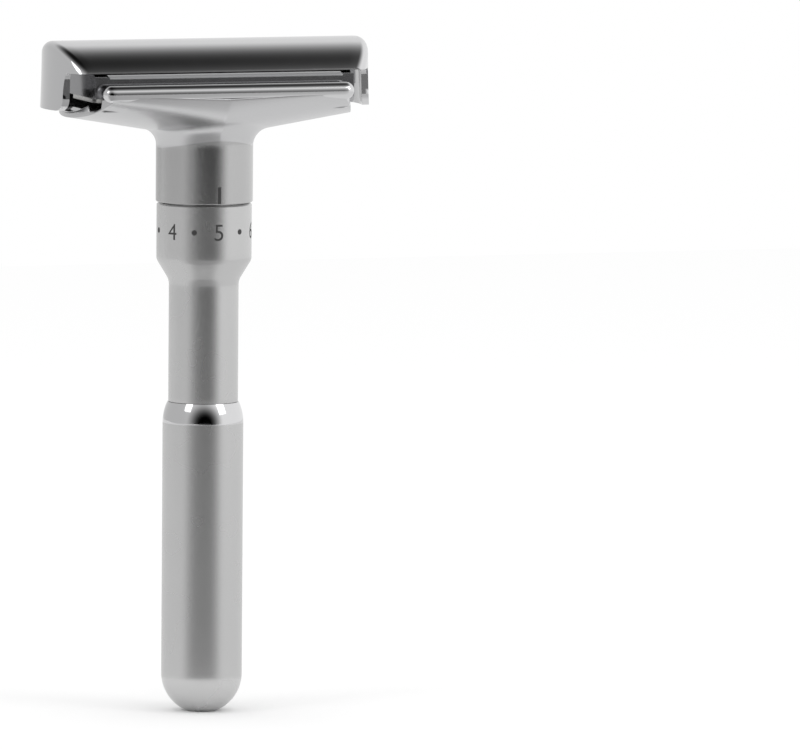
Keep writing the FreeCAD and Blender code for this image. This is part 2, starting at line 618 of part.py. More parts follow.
def cap_shell():
    """Arched cap with closed bowed ends and a lug hanging at each end."""
    outer = cap_plan(CAP_HALF_WIDTH, 0, LUG_BOTTOM_Z, CAP_TOP_Z + 1)
    outer = outer.common(lying_cylinder(CAP_TOP_ARC_R, BEYOND, 0, CAP_AXIS_Z))
    outer = outer.removeSplitter()
    top_end_edges = []
    for edge in outer.Edges:
        box = edge.BoundBox
        if box.XLength > 1 and box.YLength > 1 and box.ZMax > CAP_TOP_Z - 0.5:
            top_end_edges.append(edge)
    outer = outer.makeFillet(CAP_END_ROUND, top_end_edges)
    hollow = cap_plan(CAP_HALF_WIDTH + 1, CAP_END_WALL, LUG_BOTTOM_Z - 1, CAP_TOP_Z + 1)
    hollow = hollow.common(lying_cylinder(CAP_TOP_ARC_R - CAP_WALL, BEYOND, 0, CAP_AXIS_Z))
    shell = outer.cut(hollow)
    lug_inner = CAP_HALF_LENGTH - CAP_END_WALL - 3
    blade_edge_z = BLADE_AXIS_Z + math.sqrt((BLADE_FLEX_R + CAP_SEAT) ** 2 - CAP_HALF_WIDTH**2)
    for side in (-1, 1):
        beside = block(
            -BEYOND,
            BEYOND,
            min(side * LUG_HALF_WIDTH, side * BEYOND),
            max(side * LUG_HALF_WIDTH, side * BEYOND),
            LUG_BOTTOM_Z - 1,
            blade_edge_z,
        )
        shell = shell.cut(beside)
    over_blade = lying_cylinder(BLADE_FLEX_R + CAP_SEAT, BLADE_HALF_LENGTH + 0.5, 0, BLADE_AXIS_Z)
    between_lugs = block(-lug_inner, lug_inner, -BEYOND, BEYOND, LUG_BOTTOM_Z - 1, blade_edge_z)
    return shell.cut(over_blade).cut(between_lugs)


def cap_rail():
    """Bar soldered along the cap's ceiling that carries the two posts."""
    rail = block(
        -RAIL_HALF_LENGTH, RAIL_HALF_LENGTH, -RAIL_HALF_WIDTH, RAIL_HALF_WIDTH, RAIL_BOTTOM_Z, CAP_TOP_Z
    )
    rail = rail.common(lying_cylinder(CAP_TOP_ARC_R - CAP_WALL, BEYOND, 0, CAP_AXIS_Z))
    for side in (-1, 1):
        rail = rail.cut(cylinder(
            POST_SPIGOT_R, RAIL_BOTTOM_Z - 1, RAIL_BOTTOM_Z + POST_SPIGOT_LENGTH, x=side * POST_X
        ))
    return rail


def cap_post(side):
    """Turned post with a neck for the clip and a bullet nose."""
    neck_top = CLIP_Z + POST_NECK_LENGTH / 2
    neck_low = CLIP_Z - POST_NECK_LENGTH / 2
    tip = neck_low - POST_NOSE_LENGTH
    post = turned([
        (0, tip, 0),
        (POST_R, tip, POST_NOSE_LENGTH * 0.8),
        (POST_R, neck_low, 0),
        (POST_NECK_R, neck_low, 0),
        (POST_NECK_R, neck_top, 0),
        (POST_R, neck_top, 0),
        (POST_R, RAIL_BOTTOM_Z, 0),
        (POST_SPIGOT_R, RAIL_BOTTOM_Z, 0),
        (POST_SPIGOT_R, RAIL_BOTTOM_Z + POST_SPIGOT_LENGTH, 0),
        (0, RAIL_BOTTOM_Z + POST_SPIGOT_LENGTH, 0),
    ])
    post.translate(vec(side * POST_X, 0, 0))
    return post


PIECES = {
    "guard_head": guard_head(),
    "thrust_washer": thrust_washer(),
    "adjusting_spring": adjusting_spring(),
    "grip": grip(),
    "dial_sleeve": dial_sleeve(),
    "drive_nut": drive_nut(),
    "nut_set_screw": nut_set_screw(),
    "retaining_ring": retaining_ring(),
    "sealing_ring": sealing_ring(),
    "blade_bed": blade_bed(),
    "adjusting_stem": adjusting_stem(),
    "retainer_plate": retainer_plate(),
    "retainer_screws": retainer_screws(),
    "guide_pins": guide_pins(),
    "post_clip_left": post_clip(-1),
    "post_clip_right": post_clip(1),
    "blade": blade(),
    "cap_shell": cap_shell(),
    "cap_rail": cap_rail(),
    "cap_post_left": cap_post(-1),
    "cap_post_right": cap_post(1),
}

os.makedirs("parts", exist_ok=True)
for name, shape in PIECES.items():
    shape.exportStep(f"parts/{name}.step")
    box = shape.BoundBox
    print(f"{name:18s} solids {len(shape.Solids)} valid {shape.isValid()} volume {shape.Volume:9.2f}")
    print(f"    x {box.XMin:7.2f} {box.XMax:7.2f}  y {box.YMin:7.2f} {box.YMax:7.2f}", end="")
    print(f"  z {box.ZMin:7.2f} {box.ZMax:7.2f}")
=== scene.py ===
import math

import bmesh
import bpy
import numpy as np
from mathutils import Euler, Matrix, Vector


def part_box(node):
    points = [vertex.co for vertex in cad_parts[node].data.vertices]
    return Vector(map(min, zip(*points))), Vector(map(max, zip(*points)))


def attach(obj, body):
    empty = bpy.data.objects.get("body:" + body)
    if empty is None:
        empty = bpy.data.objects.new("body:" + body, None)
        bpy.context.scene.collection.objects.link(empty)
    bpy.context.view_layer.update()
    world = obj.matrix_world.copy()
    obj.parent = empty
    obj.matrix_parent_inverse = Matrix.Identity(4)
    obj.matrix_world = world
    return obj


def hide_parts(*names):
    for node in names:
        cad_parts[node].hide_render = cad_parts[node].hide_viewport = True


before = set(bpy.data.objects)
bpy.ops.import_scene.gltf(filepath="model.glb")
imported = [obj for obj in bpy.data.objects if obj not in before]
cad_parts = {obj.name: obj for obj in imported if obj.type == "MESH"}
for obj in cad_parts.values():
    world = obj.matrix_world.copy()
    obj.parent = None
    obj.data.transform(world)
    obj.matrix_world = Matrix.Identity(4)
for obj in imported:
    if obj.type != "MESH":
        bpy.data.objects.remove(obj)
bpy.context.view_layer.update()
scene = bpy.context.scene
scene.view_settings.view_transform = "Standard"
MM = 0.001

# ---- camera ------------------------------------------------------------------
# A very long lens two metres off, to the left of the head's front and a little
# above it, with the razor standing at the left of the frame.
CAMERA_AZIMUTH = math.radians(-18.3)
CAMERA_ELEVATION = math.radians(5.5)
CAMERA_DISTANCE = 2.0
CAMERA_AIM_Z = 51.8 * MM
ROLL = math.radians(0.34)

camera_data = bpy.data.cameras.new("camera")
camera_data.lens = 586.8
camera_data.sensor_width = 36.0
camera_data.shift_x = 0.246
camera_data.clip_start = 0.01
camera = bpy.data.objects.new("camera", camera_data)
scene.collection.objects.link(camera)
towards_camera = Vector((
    math.sin(CAMERA_AZIMUTH) * math.cos(CAMERA_ELEVATION),
    -math.cos(CAMERA_AZIMUTH) * math.cos(CAMERA_ELEVATION),
    math.sin(CAMERA_ELEVATION),
))
camera.location = Vector((0, 0, CAMERA_AIM_Z)) + CAMERA_DISTANCE * towards_camera
look = (-towards_camera).to_track_quat("-Z", "Y")
camera.rotation_mode = "QUATERNION"
camera.rotation_quaternion = look @ Euler((0, 0, ROLL)).to_quaternion()
scene.camera = camera


# ---- studio ------------------------------------------------------------------
# A white table in a white room. Metal shows the room, so a tent round the table
# and a card on it, both seen only by reflections, are shaded as a studio is:
# pale walls, a dark ceiling and a dark gap on the side it is seen from.
def linear(hexcode):
    """An sRGB hex colour as linear RGBA."""
    rgb = [int(hexcode[i:i + 2], 16) / 255 for i in (0, 2, 4)]
    return [c / 12.92 if c <= 0.04045 else ((c + 0.055) / 1.055) ** 2.4 for c in rgb] + [1.0]


def add(tree, kind, settings=None, **inputs):
    """A node with its settings, and its inputs given as values or as other nodes' outputs."""
    node = tree.nodes.new(kind)
    for name, value in (settings or {}).items():
        setattr(node, name, value)
    for name, value in inputs.items():
        key = int(name[1:]) if name[0] == "i" and name[1:].isdigit() else name.replace("_", " ")
        if isinstance(value, bpy.types.NodeSocket):
            tree.links.new(value, node.inputs[key])
        else:
            node.inputs[key].default_value = value
    return node


def new_material(name):
    """An empty node material and its output node."""
    material = bpy.data.materials.new(name)
    material.use_nodes = True
    material.node_tree.nodes.clear()
    return material, add(material.node_tree, "ShaderNodeOutputMaterial")


def grid_object(name, points, close_u=False, close_v=False, material=None):
    """A mesh over a grid of points, shaped (u, v, 3), each direction open or closed on itself."""
    nu, nv = points.shape[:2]
    u = np.arange(nu if close_u else nu - 1)
    v = np.arange(nv if close_v else nv - 1)
    a, b = np.meshgrid(u, v, indexing="ij")
    a2 = (a + 1) % nu
    b2 = (b + 1) % nv
    faces = np.stack([a * nv + b, a2 * nv + b, a2 * nv + b2, a * nv + b2], axis=-1).reshape(-1, 4)
    mesh = bpy.data.meshes.new(name)
    mesh.from_pydata(points.reshape(-1, 3).tolist(), [], faces.tolist())
    made = bpy.data.objects.new(name, mesh)
    scene.collection.objects.link(made)
    if material:
        mesh.materials.append(material)
    return made


world = bpy.data.worlds.new("white_room")
scene.world = world
world.use_nodes = True
world.node_tree.nodes["Background"].inputs["Color"].default_value = (1, 1, 1, 1)
world.node_tree.nodes["Background"].inputs["Strength"].default_value = 1.0

table_paint, output = new_material("table_paint")
tree = table_paint.node_tree
white = add(tree, "ShaderNodeBsdfDiffuse", Color=linear("FBFBFB"))
tree.links.new(white.outputs[0], output.inputs["Surface"])
TABLE = 0.75
corners = np.array([[[-1, -1, 0], [-1, 1, 0]], [[1, -1, 0], [1, 1, 0]]], float) * TABLE
table = grid_object("table", corners, material=table_paint)

TENT_R = 1.6
tent_cloth, output = new_material("tent_cloth")
tree = tent_cloth.node_tree
place = add(tree, "ShaderNodeTexCoord")
direction = add(tree, "ShaderNodeVectorMath", {"operation": "NORMALIZE"}, i0=place.outputs["Object"])
front = add(
    tree, "ShaderNodeVectorMath", {"operation": "DOT_PRODUCT"}, i0=direction.outputs[0],
    i1=(math.sin(CAMERA_AZIMUTH + 0.1), -math.cos(CAMERA_AZIMUTH + 0.1), 0),
)
side = add(
    tree, "ShaderNodeVectorMath", {"operation": "DOT_PRODUCT"}, i0=direction.outputs[0],
    i1=(math.cos(CAMERA_AZIMUTH), math.sin(CAMERA_AZIMUTH), 0),
)
height = add(tree, "ShaderNodeSeparateXYZ", Vector=direction.outputs[0])
gap = add(
    tree, "ShaderNodeMapRange", {"interpolation_type": "SMOOTHSTEP"}, Value=front.outputs["Value"],
    From_Min=0.55, From_Max=0.97, To_Min=1.0, To_Max=0.0,
)
walls = add(
    tree, "ShaderNodeMapRange", {"interpolation_type": "SMOOTHSTEP"}, Value=side.outputs["Value"],
    From_Min=-1.0, From_Max=0.8, To_Min=0.62, To_Max=1.02,
)
ceiling = add(
    tree, "ShaderNodeMapRange", {"interpolation_type": "SMOOTHSTEP"}, Value=height.outputs["Z"],
    From_Min=0.62, From_Max=0.995, To_Min=1.0, To_Max=0.01,
)
shade = add(tree, "ShaderNodeMath", {"operation": "MULTIPLY"}, i0=gap.outputs[0], i1=walls.outputs[0])
shade = add(tree, "ShaderNodeMath", {"operation": "MULTIPLY"}, i0=shade.outputs[0], i1=ceiling.outputs[0])
glow = add(tree, "ShaderNodeEmission", Strength=shade.outputs[0])
tree.links.new(glow.outputs[0], output.inputs["Surface"])
polar = np.linspace(-math.pi / 2, math.pi / 2, 33)
round_about = np.linspace(0, 2 * math.pi, 64, endpoint=False)
lat, lon = np.meshgrid(polar, round_about, indexing="ij")
dome = np.stack([np.cos(lat) * np.cos(lon), np.cos(lat) * np.sin(lon), np.sin(lat)], axis=-1) * TENT_R
tent = grid_object("tent", dome, close_v=True, material=tent_cloth)

floor_card, output = new_material("floor_card")
tree = floor_card.node_tree
place = add(tree, "ShaderNodeTexCoord")
direction = add(tree, "ShaderNodeVectorMath", {"operation": "NORMALIZE"}, i0=place.outputs["Object"])
front = add(
    tree, "ShaderNodeVectorMath", {"operation": "DOT_PRODUCT"}, i0=direction.outputs[0],
    i1=(math.sin(CAMERA_AZIMUTH), -math.cos(CAMERA_AZIMUTH), 0),
)
shade = add(
    tree, "ShaderNodeMapRange", {"interpolation_type": "SMOOTHSTEP"}, Value=front.outputs["Value"],
    From_Min=0.5, From_Max=0.97, To_Min=0.86, To_Max=0.42,
)
glow = add(tree, "ShaderNodeEmission", Strength=shade.outputs[0])
tree.links.new(glow.outputs[0], output.inputs["Surface"])
ring = np.stack([np.cos(round_about), np.sin(round_about), np.zeros(64)], axis=-1)
sheet = np.stack([ring * 0.03, ring * 0.74], axis=0) + np.array([0, 0, 0.0004])
card = grid_object("floor_card", sheet, close_v=True, material=floor_card)
for reflected in (tent, card):
    reflected.visible_camera = False
    reflected.visible_diffuse = False
    reflected.visible_shadow = False


def softbox(name, azimuth, elevation, distance, width, tall, watts):
    """An area lamp of that size, aimed at the head from that direction."""
    lamp = bpy.data.lights.new(name, "AREA")
    lamp.shape = "RECTANGLE"
    lamp.size = width
    lamp.size_y = tall
    lamp.energy = watts
    holder = bpy.data.objects.new(name, lamp)
    scene.collection.objects.link(holder)
    a = CAMERA_AZIMUTH + math.radians(azimuth)
    e = math.radians(elevation)
    back = Vector((math.sin(a) * math.cos(e), -math.cos(a) * math.cos(e), math.sin(e)))
    holder.location = Vector((0, 0, CAMERA_AIM_Z)) + distance * back
    holder.rotation_euler = (-back).to_track_quat("-Z", "Y").to_euler()


softbox("key_softbox", 62, 32, 0.9, 0.35, 0.5, 0.9)
softbox("fill_softbox", -50, 36, 0.9, 0.3, 0.4, 0.7)


# ---- grip --------------------------------------------------------------------
# A turned bar with a ball end and a small foot flat, chrome plated over a fine
# blasted skin. Its shoulder is left bright, and screws up against the neck.
SEGMENTS = 160
GRIP_R = 6.2
SHOULDER_RISE = 3.2
FOOT_FLAT_R = 2.3
SHOULDER_ARC_R = 7.5
_, grip_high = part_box("grip")
grip_top = grip_high.z / MM
shoulder_z = grip_top - SHOULDER_RISE


def arc(centre, radius, start, end, count):
    """Points along a circular arc, its angles in degrees from the first axis."""
    t = np.radians(np.linspace(start, end, count))
    return np.stack([centre[0] + radius * np.cos(t), centre[1] + radius * np.sin(t)], axis=-1)


def line(start, end, count):
    """Points along a straight line, ends included."""
    t = np.linspace(0, 1, count)[:, None]
    return np.array(start) * (1 - t) + np.array(end) * t


def lathe(name, profile, materials, segments=SEGMENTS, place_x=0.0):
    """A (radius, z) profile in millimetres spun about an axis parallel to Z, as one closed skin."""
    turn = np.linspace(0, 2 * math.pi, segments, endpoint=False)
    r = profile[:, 0][:, None]
    z = np.repeat(profile[:, 1][:, None], segments, axis=1)
    points = np.stack([place_x + r * np.cos(turn), r * np.sin(turn), z], axis=-1) * MM
    made = grid_object(name, points, close_v=True)
    for material in materials:
        made.data.materials.append(material)
    finish_mesh(made)
    return made


def finish_mesh(made, smooth_angle=30.0):
    """Merges doubled points, turns the faces outwards and smooths all but the crisp edges."""
    work = bmesh.new()
    work.from_mesh(made.data)
    bmesh.ops.remove_doubles(work, verts=work.verts, dist=0.002 * MM)
    bmesh.ops.dissolve_degenerate(work, edges=work.edges, dist=0.0005 * MM)
    bmesh.ops.recalc_face_normals(work, faces=work.faces)
    limit = math.radians(smooth_angle)
    for face in work.faces:
        face.smooth = True
    for edge in work.edges:
        edge.smooth = edge.is_manifold and edge.calc_face_angle(0) < limit
    work.to_mesh(made.data)
    work.free()


def satin_chrome(name, tone, rough, grain_mm):
    """Chrome over a blasted skin: a soft sheen from shallow pits about grain_mm across."""
    material, output = new_material(name)
    tree = material.node_tree
    place = add(tree, "ShaderNodeTexCoord")
    grain = add(
        tree, "ShaderNodeTexNoise", Vector=place.outputs["Object"], Scale=1000 / grain_mm, Detail=3.0
    )
    cloud = add(tree, "ShaderNodeTexNoise", Vector=place.outputs["Object"], Scale=120.0, Detail=2.0)
    rough_node = add(
        tree, "ShaderNodeMapRange", Value=cloud.outputs["Fac"],
        From_Min=0.3, From_Max=0.7, To_Min=rough - 0.02, To_Max=rough + 0.03,
    )
    bump = add(tree, "ShaderNodeBump", Strength=0.12, Distance=0.00002, Height=grain.outputs["Fac"])
    metal = add(
        tree, "ShaderNodeBsdfPrincipled", Base_Color=linear(tone), Metallic=1.0,
        Roughness=rough_node.outputs[0], Normal=bump.outputs[0],
    )
    tree.links.new(metal.outputs[0], output.inputs["Surface"])
    return material


def bright_chrome(name, tone, rough):
    """Chrome over polished zinc: a near mirror with faint wipe marks half a millimetre apart."""
    material, output = new_material(name)
    tree = material.node_tree
    place = add(tree, "ShaderNodeTexCoord")
    wipe = add(tree, "ShaderNodeTexNoise", Vector=place.outputs["Object"], Scale=400.0, Detail=4.0)
    rough_node = add(
        tree, "ShaderNodeMapRange", Value=wipe.outputs["Fac"],
        From_Min=0.35, From_Max=0.75, To_Min=rough, To_Max=rough + 0.05,
    )
    metal = add(
        tree, "ShaderNodeBsdfPrincipled", Base_Color=linear(tone), Metallic=1.0,
        Roughness=rough_node.outputs[0],
    )
    tree.links.new(metal.outputs[0], output.inputs["Surface"])
    return material


handle_satin = satin_chrome("satin_chrome", "C8C8C8", 0.26, 0.12)
polished = bright_chrome("polished_chrome", "D6D6D7", 0.06)

ball_z = math.sqrt(GRIP_R ** 2 - FOOT_FLAT_R ** 2)
ball_start = -math.degrees(math.acos(FOOT_FLAT_R / GRIP_R))
shoulder_turn = math.degrees(math.asin((grip_top - shoulder_z) / SHOULDER_ARC_R))
shoulder = arc((GRIP_R - SHOULDER_ARC_R, shoulder_z), SHOULDER_ARC_R, 0, shoulder_turn, 14)
grip_profile = np.concatenate([
    line((0, 0), (FOOT_FLAT_R, 0), 5),
    arc((0, ball_z), GRIP_R, ball_start, 0, 28),
    line((GRIP_R, ball_z + 0.5), (GRIP_R, shoulder_z - 0.3), 60),
    shoulder,
    line((shoulder[-1, 0] - 0.05, grip_top), (0, grip_top), 4),
])
grip = lathe("grip_skin", grip_profile, [handle_satin, polished])
for face in grip.data.polygons:
    face.material_index = int(face.center.z > (shoulder_z + 0.1) * MM)
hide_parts("grip")
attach(grip, "handle")


# ---- dial and neck -------------------------------------------------------------
# The neck, its flare and the dial are turned in one and blasted like the grip.
# The six settings and the dots between them are cut in and filled with dark paint.
NECK_R = 5.35
DIAL_R = 7.3
DIAL_HEIGHT = 8.7
FLARE_RISE = 3.2
EDGE_CHAMFER = 0.25
SPIGOT_R = 5.9
SPIGOT_RISE = 4.2
TOP_R = 4.0
BORE_R = 3.05
BORE_DEPTH = 6
_, sleeve_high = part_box("dial_sleeve")
dial_top = 78.3
dial_low = dial_top - DIAL_HEIGHT
neck_top = dial_low - FLARE_RISE
sleeve_top = sleeve_high.z / MM
NUMERAL_HEIGHT = 2.6
NUMERAL_Z = dial_top - 4.1
PAINT_PROUD = 0.012


def filleted(points, radii, count=9):
    """A polyline in the plane whose inner corners are rounded to the given radii."""
    out = [np.array(points[0], float)]
    for i in range(1, len(points) - 1):
        here = np.array(points[i], float)
        back = np.array(points[i - 1], float) - here
        ahead = np.array(points[i + 1], float) - here
        back /= np.linalg.norm(back)
        ahead /= np.linalg.norm(ahead)
        half = math.acos(np.clip(back @ ahead, -1, 1)) / 2
        radius = radii[i]
        if radius == 0:
            out.append(here)
            continue
        middle = (back + ahead) / np.linalg.norm(back + ahead)
        centre = here + middle * radius / math.sin(half)
        first = here + back * radius / math.tan(half) - centre
        last = here + ahead * radius / math.tan(half) - centre
        sweep = math.pi - 2 * half
        for t in np.linspace(0, 1, count):
            mixed = (math.sin((1 - t) * sweep) * first + math.sin(t * sweep) * last) / math.sin(sweep)
            out.append(centre + mixed)
    out.append(np.array(points[-1], float))
    return np.array(out)


def densify(profile, step):
    """Adds points so that no stretch of a profile is longer than step."""
    out = [profile[0]]
    for a, b in zip(profile[:-1], profile[1:]):
        count = max(1, int(np.linalg.norm(b - a) / step))
        out.extend(line(a, b, count + 1)[1:])
    return np.array(out)


sleeve_profile = filleted(
    [
        (0, grip_top + 0.02), (NECK_R, grip_top + 0.02), (NECK_R, neck_top), (DIAL_R, dial_low),
        (DIAL_R, dial_top - EDGE_CHAMFER), (DIAL_R - EDGE_CHAMFER, dial_top), (SPIGOT_R, dial_top),
        (SPIGOT_R, dial_top + SPIGOT_RISE), (TOP_R, dial_top + SPIGOT_RISE + 0.2), (TOP_R, sleeve_top),
        (BORE_R, sleeve_top), (BORE_R, sleeve_top - BORE_DEPTH), (0, sleeve_top - BORE_DEPTH),
    ],
    [0, 0.06, 2.5, 1.6, 0, 0, 0, 0, 0, 0, 0, 0, 0],
)
sleeve = lathe("dial_sleeve_skin", densify(sleeve_profile, 0.8), [handle_satin])
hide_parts("dial_sleeve")
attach(sleeve, "handle")

engraving, output = new_material("engraving_paint")
tree = engraving.node_tree
place = add(tree, "ShaderNodeTexCoord")
grit = add(tree, "ShaderNodeTexNoise", Vector=place.outputs["Object"], Scale=6000.0, Detail=2.0)
uneven = add(
    tree, "ShaderNodeMix", {"data_type": "RGBA"}, i0=grit.outputs["Fac"],
    i6=linear("262626"), i7=linear("3C3C3C"),
)
paint = add(tree, "ShaderNodeBsdfPrincipled", Base_Color=uneven.outputs[2], Roughness=0.6)
tree.links.new(paint.outputs[0], output.inputs["Surface"])


def wrapped(flat, radius, angle, z):
    """Flat (across, up) points in millimetres laid on a cylinder about Z, starting at an angle from -Y."""
    turn = angle + flat[:, 0] / radius
    return np.stack([radius * np.sin(turn), -radius * np.cos(turn), z + flat[:, 1]], axis=-1) * MM


def numeral_mesh(text):
    """A numeral as flat triangles, sliced upright every fifth of a millimetre so that it can bend."""
    curve = bpy.data.curves.new("numeral", "FONT")
    curve.body = text
    curve.size = NUMERAL_HEIGHT / 0.72
    curve.align_x = "CENTER"
    curve.resolution_u = 6
    curve.offset = -0.012
    holder = bpy.data.objects.new("numeral", curve)
    scene.collection.objects.link(holder)
    bpy.context.view_layer.update()
    flat = bpy.data.meshes.new_from_object(holder.evaluated_get(bpy.context.evaluated_depsgraph_get()))
    bpy.data.objects.remove(holder)
    work = bmesh.new()
    work.from_mesh(flat)
    for x in np.arange(-1.4, 1.41, 0.2):
        geometry = work.verts[:] + work.edges[:] + work.faces[:]
        bmesh.ops.bisect_plane(work, geom=geometry, plane_co=(x, 0, 0), plane_no=(1, 0, 0))
    bmesh.ops.triangulate(work, faces=work.faces)
    points = np.array([v.co for v in work.verts])[:, :2]
    work.verts.index_update()
    faces = np.array([[v.index for v in f.verts] for f in work.faces])
    work.free()
    middle = (points.min(0) + points.max(0)) / 2
    return points - middle, faces


SETTING_AT_FRONT = 5
SETTINGS = 6
DOT_R = 0.42
DOT_SIDES = 24
marks = []
for setting in range(1, SETTINGS + 1):
    flat, faces = numeral_mesh(str(setting))
    angle = math.radians(360 / SETTINGS) * (setting - SETTING_AT_FRONT)
    marks.append((wrapped(flat, DIAL_R + PAINT_PROUD, angle, NUMERAL_Z), faces))
    ring = arc((0, 0), DOT_R, 0, 360 - 360 / DOT_SIDES, DOT_SIDES)
    dot = np.concatenate([[[0, 0]], ring])
    fan = np.array([[0, 1 + k, 1 + (k + 1) % DOT_SIDES] for k in range(DOT_SIDES)])
    between = angle + math.radians(180 / SETTINGS)
    marks.append((wrapped(dot, DIAL_R + 2 * PAINT_PROUD, between, NUMERAL_Z), fan))
starts = np.cumsum([0] + [len(points) for points, faces in marks])
mark_points = np.concatenate([points for points, faces in marks])
mark_faces = [row for start, (points, faces) in zip(starts, marks) for row in (faces + start).tolist()]
paint_mesh = bpy.data.meshes.new("dial_marks")
paint_mesh.from_pydata(mark_points.tolist(), [], mark_faces)
paint_mesh.materials.append(engraving)
dial_marks = bpy.data.objects.new("dial_marks", paint_mesh)
scene.collection.objects.link(dial_marks)
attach(dial_marks, "handle")


# ---- guard head ----------------------------------------------------------------
# One zinc casting: a boat-shaped hull on a collar, with a round guard bar along
# each long side of its rim. Hull and bars are polished and chromed, and the
# collar is blasted up to the fillet, with the index line cut in its front.
COLLAR_R = 7.45
COLLAR_LOW = 78.5
FILLET_R = 2.2
HULL_HALF_WIDTH = 13.25
HULL_CENTRE_Z = 97.0
HULL_DEPTH = 8.9
HULL_RISE = 0.167
POCKET_FLOOR_Z = 93.2
RIM_TOP_Z = 95.2
SCOOP_LOW_Z = 92.7
SCOOP_R = 19.5
WELL_R = 6.0
WELL_FLOOR_Z = 84.6
WEB_LOW_Z = 83.0
STEM_HOLE_R = 4.1
POCKET_HALF_LENGTH = 20.9
POCKET_HALF_WIDTH = 10.3
RIM_WALL = 0.35
MOUTH_CHAMFER = 0.12
ROLL_Y = 11.6
ROLL_Z = 96.0
ROLL_R = 1.37
ROLL_HALF_LENGTH = 20.1


def smooth_loop(corners, count):
    """A closed Catmull-Rom curve through the given points, evenly stepped along its length."""
    p = np.array(corners, float)
    fine = []
    for i in range(len(p)):
        a, b, c, d = p[i - 1], p[i], p[(i + 1) % len(p)], p[(i + 2) % len(p)]
        t = np.linspace(0, 1, 60, endpoint=False)[:, None]
        square = (2 * a - 5 * b + 4 * c - d) * t ** 2
        cube = (3 * b - a - 3 * c + d) * t ** 3
        fine.append(0.5 * (2 * b + (c - a) * t + square + cube))
    fine = np.concatenate(fine)
    closed = np.concatenate([fine, fine[:1]])
    along = np.concatenate([[0], np.cumsum(np.linalg.norm(np.diff(closed, axis=0), axis=1))])
    at = np.linspace(0, along[-1], count, endpoint=False)
    return np.stack([np.interp(at, along, closed[:, k]) for k in range(closed.shape[1])], axis=-1)


def four_ways(quarter):
    """A quarter of a loop in +x +y, from x = 0 to y = 0, copied round all four quarters in order."""
    q = [np.array(p, float) for p in quarter]

    def flip(points, sx, sy):
        return [p * np.array([sx, sy] + [1] * (len(p) - 2)) for p in points]

    loop = q + flip(q[:-1], 1, -1)[::-1] + flip(q[1:], -1, -1) + flip(q[1:-1], -1, 1)[::-1]
    return np.array(loop)


outline = smooth_loop(four_ways([
    (0, 12.84), (6, 12.84), (12, 12.84), (16.6, 12.84), (18.5, 12.3), (19.8, 10.6), (21.0, 7.6), (22.0, 4.0),
    (22.4, 0),
]), 480)


def hull_z(x, y):
    """Underside of the hull: half an ellipse across, shallower by a fixed slope towards the ends."""
    depth = HULL_DEPTH - HULL_RISE * np.abs(x)
    return HULL_CENTRE_Z - depth * np.sqrt(np.clip(1 - (y / HULL_HALF_WIDTH) ** 2, 0, 1))


def guard_skin():
    """For each direction from the axis, a path down the bore, round the collar, out under the hull,
    over the rim and back across the pocket's floor to the bore, so the grid closes both ways."""
    reach = np.linalg.norm(outline, axis=1)
    way = outline / reach[:, None]
    rows = []

    def put(radius, z):
        radius = np.broadcast_to(radius, reach.shape)
        z = np.broadcast_to(z, reach.shape)
        rows.append(np.stack([way[:, 0] * radius, way[:, 1] * radius, z], axis=-1))

    put(WELL_R + 0.05, COLLAR_LOW + 0.1)
    put(WELL_R + 0.05, COLLAR_LOW)
    put(COLLAR_R - MOUTH_CHAMFER, COLLAR_LOW)
    put(COLLAR_R, COLLAR_LOW + MOUTH_CHAMFER)
    wall_top = hull_z(way[:, 0] * COLLAR_R, way[:, 1] * COLLAR_R) - FILLET_R
    for t in np.linspace(0.08, 1, 14):
        put(COLLAR_R, (COLLAR_LOW + MOUTH_CHAMFER) * (1 - t) + wall_top * t)
    for turn in np.radians(np.linspace(6, 90, 14)):
        radius = COLLAR_R + FILLET_R * (1 - math.cos(turn))
        drop = FILLET_R * (1 - math.sin(turn))
        put(radius, hull_z(way[:, 0] * radius, way[:, 1] * radius) - drop)
    start = COLLAR_R + FILLET_R
    for t in np.linspace(0, 1, 45)[1:]:
        radius = start + (reach - start) * t
        put(radius, hull_z(way[:, 0] * radius, way[:, 1] * radius))
    scoop = SCOOP_LOW_Z + SCOOP_R - np.sqrt(SCOOP_R ** 2 - np.clip(np.abs(outline[:, 1]), 0, 13) ** 2)
    rim = np.minimum(RIM_TOP_Z, scoop)
    under_bed = np.abs(outline[:, 0]) < POCKET_HALF_LENGTH + 0.2
    under_bed &= np.abs(outline[:, 1]) < POCKET_HALF_WIDTH + 0.1
    rim = np.where(under_bed, np.minimum(rim, POCKET_FLOOR_Z + 0.1), rim)
    edge = 0.3
    low = hull_z(outline[:, 0], outline[:, 1])
    for turn in np.radians([0, 30, 60, 90]):
        put(reach - edge * (1 - math.cos(turn)), np.maximum(rim - edge, low + 0.1) + edge * math.sin(turn))
    squared = np.abs(way / np.array([POCKET_HALF_LENGTH, POCKET_HALF_WIDTH])) ** 24
    inner = np.minimum(squared.sum(axis=1) ** (-1 / 24), reach - RIM_WALL)
    put(inner, rim)
    put(inner, np.minimum(rim, POCKET_FLOOR_Z))
    put(inner * 0.98, POCKET_FLOOR_Z)
    for t in (0.33, 0.66, 1.0):
        put(inner * 0.98 * (1 - t) + (WELL_R + 0.05) * t, POCKET_FLOOR_Z)
    put(WELL_R, POCKET_FLOOR_Z - 0.05)
    put(WELL_R, WELL_FLOOR_Z)
    put(STEM_HOLE_R, WELL_FLOOR_Z)
    put(STEM_HOLE_R, WEB_LOW_Z)
    put(WELL_R, WEB_LOW_Z)
    return np.stack(rows, axis=1) * MM


